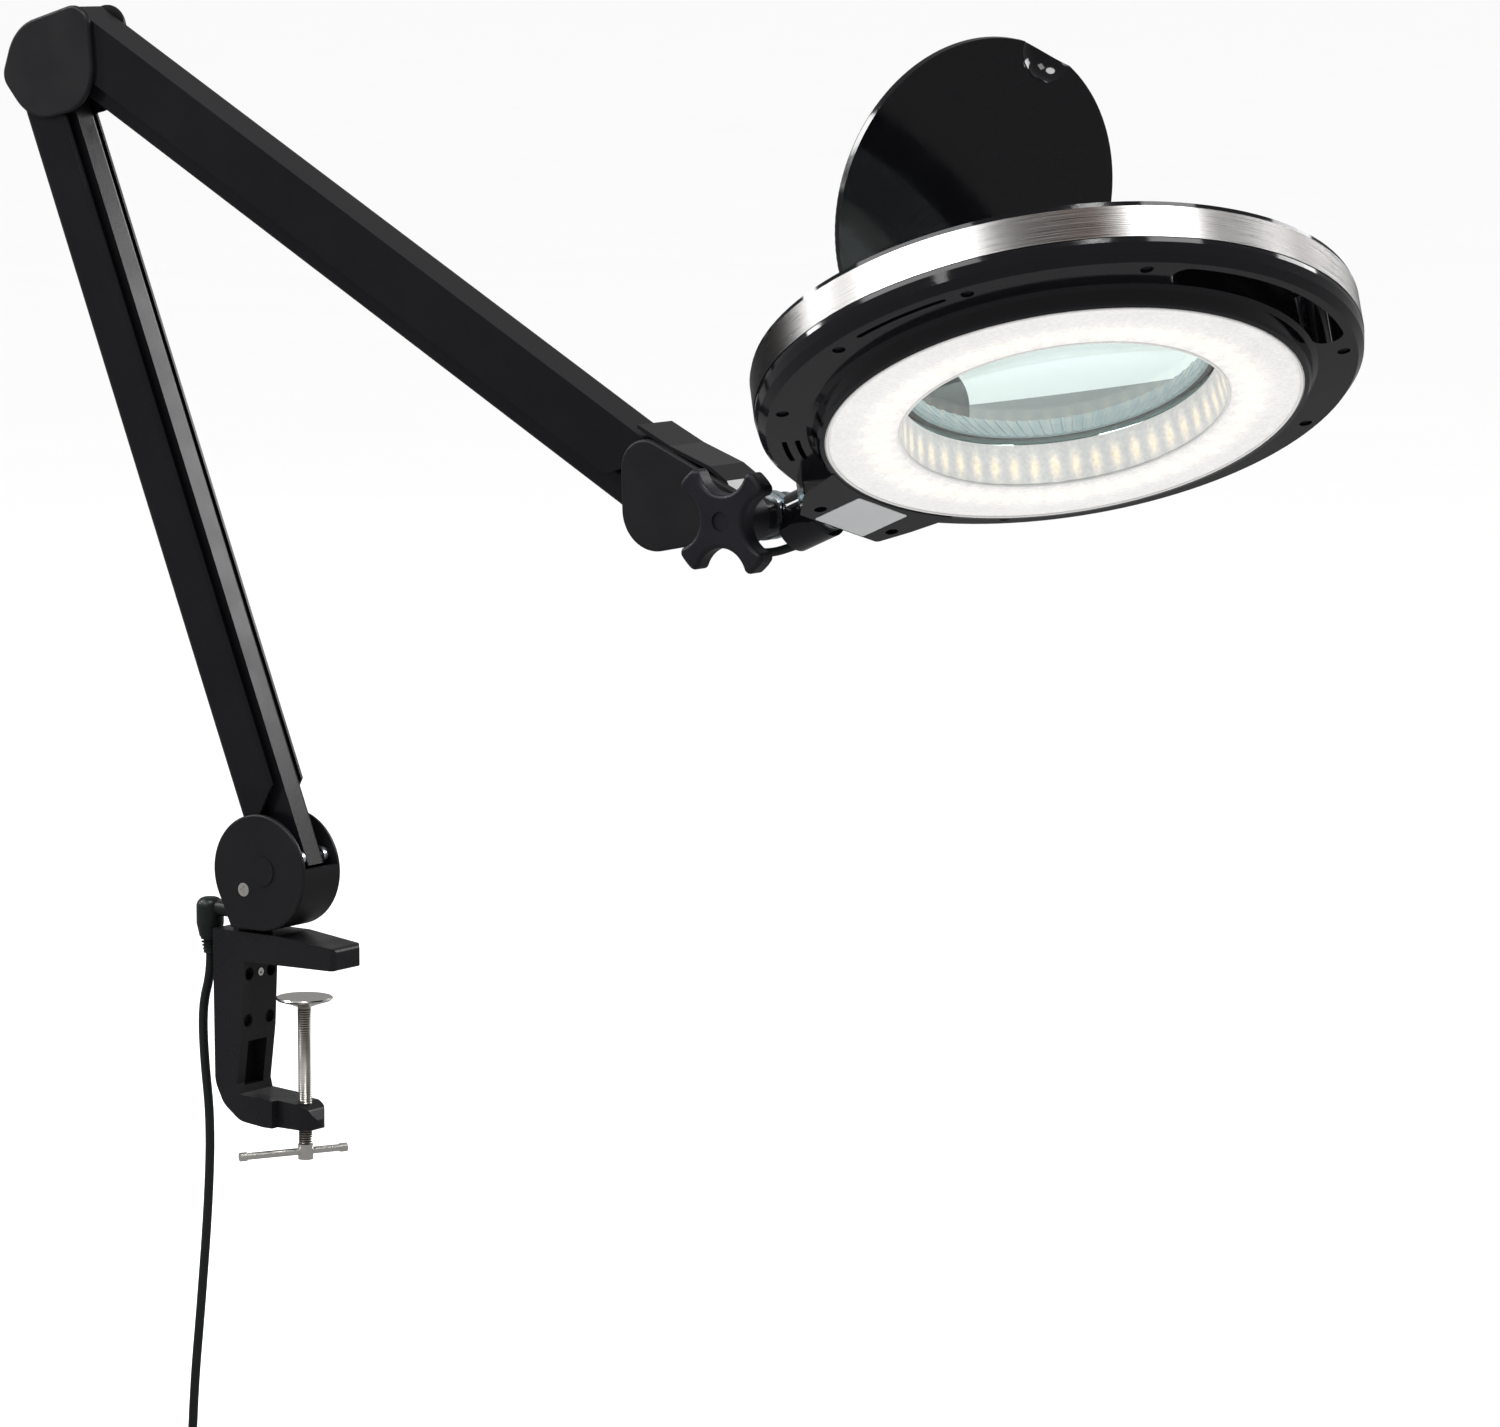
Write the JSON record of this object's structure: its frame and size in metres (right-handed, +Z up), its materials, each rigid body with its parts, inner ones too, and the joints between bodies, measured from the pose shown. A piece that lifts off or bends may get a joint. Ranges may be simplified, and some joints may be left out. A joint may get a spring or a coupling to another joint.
{
  "type": "magnifying lamp",
  "caption": "Clamp-on magnifying lamp with two pivoted channel arms, a tilting round head with a light ring and lens, and a hinged lens lid.",
  "frame": {"origin": "underside of the clamp's upper jaw, straight below the middle of the base housing", "axes": "+Z up, +X forward along the clamp's jaw, arms in the XZ plane at rest"},
  "size_m": [0.6259, 0.2882, 0.6511],
  "materials": {
    "cast_black": "satin black paint",
    "arm_black": "satin black powder coat",
    "shell_black": "gloss black",
    "cover_black": "fine matte black",
    "knob_black": "matte black",
    "zinc": "zinc plated",
    "nickel": "nickel plated",
    "band_steel": "brushed",
    "spring_steel": "oiled",
    "lens_glass": "polished",
    "seal_pale": "matte",
    "bezel_silver": "silver grey",
    "diffuser_clear": "frosted translucent",
    "board_white": "solder mask",
    "led_yellow": "phosphor",
    "plate_silver": "blank satin foil",
    "cord_black": "satin",
    "plug_black": "moulded, slightly green black",
    "adapter_black": "textured black"
  },
  "bodies": {
    "clamp": {"clamp_bracket": "cast_black", "clamp_web_screw": "nickel"},
    "screw": {"clamp_screw": "nickel"},
    "pad": {"clamp_pad": "nickel"},
    "bar": {"tommy_bar": "nickel"},
    "base": {"swivel_pin": "cast_black", "base_shell_near": "cover_black", "base_shell_far": "cover_black", "base_screw": "nickel", "base_pins": "zinc", "power_jack": "plug_black", "power_plug": "plug_black", "plug_relief": "plug_black", "power_cord": "cord_black", "cord_coil": "cord_black", "power_adapter": "adapter_black"},
    "lower_arm": {"lower_back_channel": "arm_black", "lower_spring": "spring_steel"},
    "lower_link": {"lower_front_channel": "arm_black"},
    "elbow": {"elbow_bracket": "arm_black", "elbow_pins": "zinc", "elbow_cover_near": "cover_black", "elbow_cover_far": "cover_black"},
    "upper_arm": {"upper_top_channel": "arm_black", "upper_spring": "spring_steel"},
    "upper_link": {"upper_bottom_channel": "arm_black"},
    "nose": {"nose_bracket": "arm_black", "nose_pins": "zinc", "nose_cover_near": "cover_black", "nose_cover_far": "shell_black", "tilt_washers": "zinc", "tilt_bolt": "zinc", "head_cable": "cord_black"},
    "knob": {"tilt_knob": "knob_black"},
    "yoke": {"yoke": "shell_black"},
    "head": {"neck_bolt": "zinc", "neck_washers": "zinc", "head_top_shell": "shell_black", "head_bottom_shell": "shell_black", "steel_band": "band_steel", "head_screws": "knob_black", "rating_plate": "plate_silver", "lens": "lens_glass", "lens_seal": "seal_pale", "bezel": "bezel_silver", "led_board": "board_white", "leds": "led_yellow", "diffuser": "diffuser_clear", "touch_board": "board_white", "lid_hinge": "shell_black", "lid_pin": "nickel"},
    "lid": {"lid": "shell_black"}
  },
  "joints": [
    {"name": "pad_travel", "type": "slide", "parent": "clamp", "child": "pad", "axis": [0, 0, 1], "range_m": [-0.034, 0.0066]},
    {"name": "screw_turn", "type": "hinge", "parent": "pad", "child": "screw", "pos_m": [0.014, 0, -0.05], "axis": [0, 0, 1], "range_deg": [-12240, 2376]},
    {"name": "bar_slide", "type": "slide", "parent": "screw", "child": "bar", "axis": [0.4695, 0.8829, 0], "range_m": [-0.012, 0.023]},
    {"name": "base_swivel", "type": "hinge", "parent": "clamp", "child": "base", "pos_m": [-0.0135, 0, 0.01], "axis": [0, 0, 1], "range_deg": [-100, 100]},
    {"name": "lower_arm_lean", "type": "hinge", "parent": "base", "child": "lower_arm", "pos_m": [0.0023, 0, 0.0392], "axis": [0, 1, 0], "range_deg": [-5, 55]},
    {"name": "lower_link_turn", "type": "hinge", "parent": "base", "child": "lower_link", "pos_m": [0.01698, 0, 0.04504], "axis": [0, 1, 0], "range_deg": [-7, 55]},
    {"name": "elbow_level", "type": "hinge", "parent": "lower_arm", "child": "elbow", "pos_m": [-0.12822, 0, 0.36718], "axis": [0, 1, 0], "range_deg": [-55, 7]},
    {"name": "upper_arm_drop", "type": "hinge", "parent": "elbow", "child": "upper_arm", "pos_m": [-0.09642, 0, 0.38938], "axis": [0, 1, 0], "range_deg": [-45, 7.5]},
    {"name": "upper_link_turn", "type": "hinge", "parent": "elbow", "child": "upper_link", "pos_m": [-0.10072, 0, 0.36528], "axis": [0, 1, 0], "range_deg": [-55, 8]},
    {"name": "nose_level", "type": "hinge", "parent": "upper_arm", "child": "nose", "pos_m": [0.20299, 0, 0.22205], "axis": [0, 1, 0], "range_deg": [-8, 55]},
    {"name": "knob_turn", "type": "hinge", "parent": "nose", "child": "knob", "pos_m": [0.25199, 0, 0.20165], "axis": [0, -1, 0], "range_deg": [0, 360]},
    {"name": "head_tilt", "type": "hinge", "parent": "nose", "child": "yoke", "pos_m": [0.25199, 0, 0.20165], "axis": [0, 1, 0], "range_deg": [-60, 50], "deforming": ["head_cable"]},
    {"name": "head_roll", "type": "hinge", "parent": "yoke", "child": "head", "pos_m": [0.25442, 0.007, 0.19616], "axis": [0.9143, 0, 0.4051], "range_deg": [-75, 60]},
    {"name": "lid_swing", "type": "hinge", "parent": "head", "child": "lid", "pos_m": [0.30295, 0.02673, 0.24796], "axis": [-0.2676, -0.9334, 0.239], "range_deg": [-52.5, 54.5]}
  ],
  "couplings": [
    {"joint": "screw_turn", "follows": "pad_travel", "rad_per_m": 6283.2},
    {"joint": "lower_link_turn", "follows": "lower_arm_lean", "ratio": 1},
    {"joint": "elbow_level", "follows": "lower_arm_lean", "ratio": -1},
    {"joint": "upper_link_turn", "follows": "upper_arm_drop", "ratio": 1},
    {"joint": "nose_level", "follows": "upper_arm_drop", "ratio": -1}
  ]
}
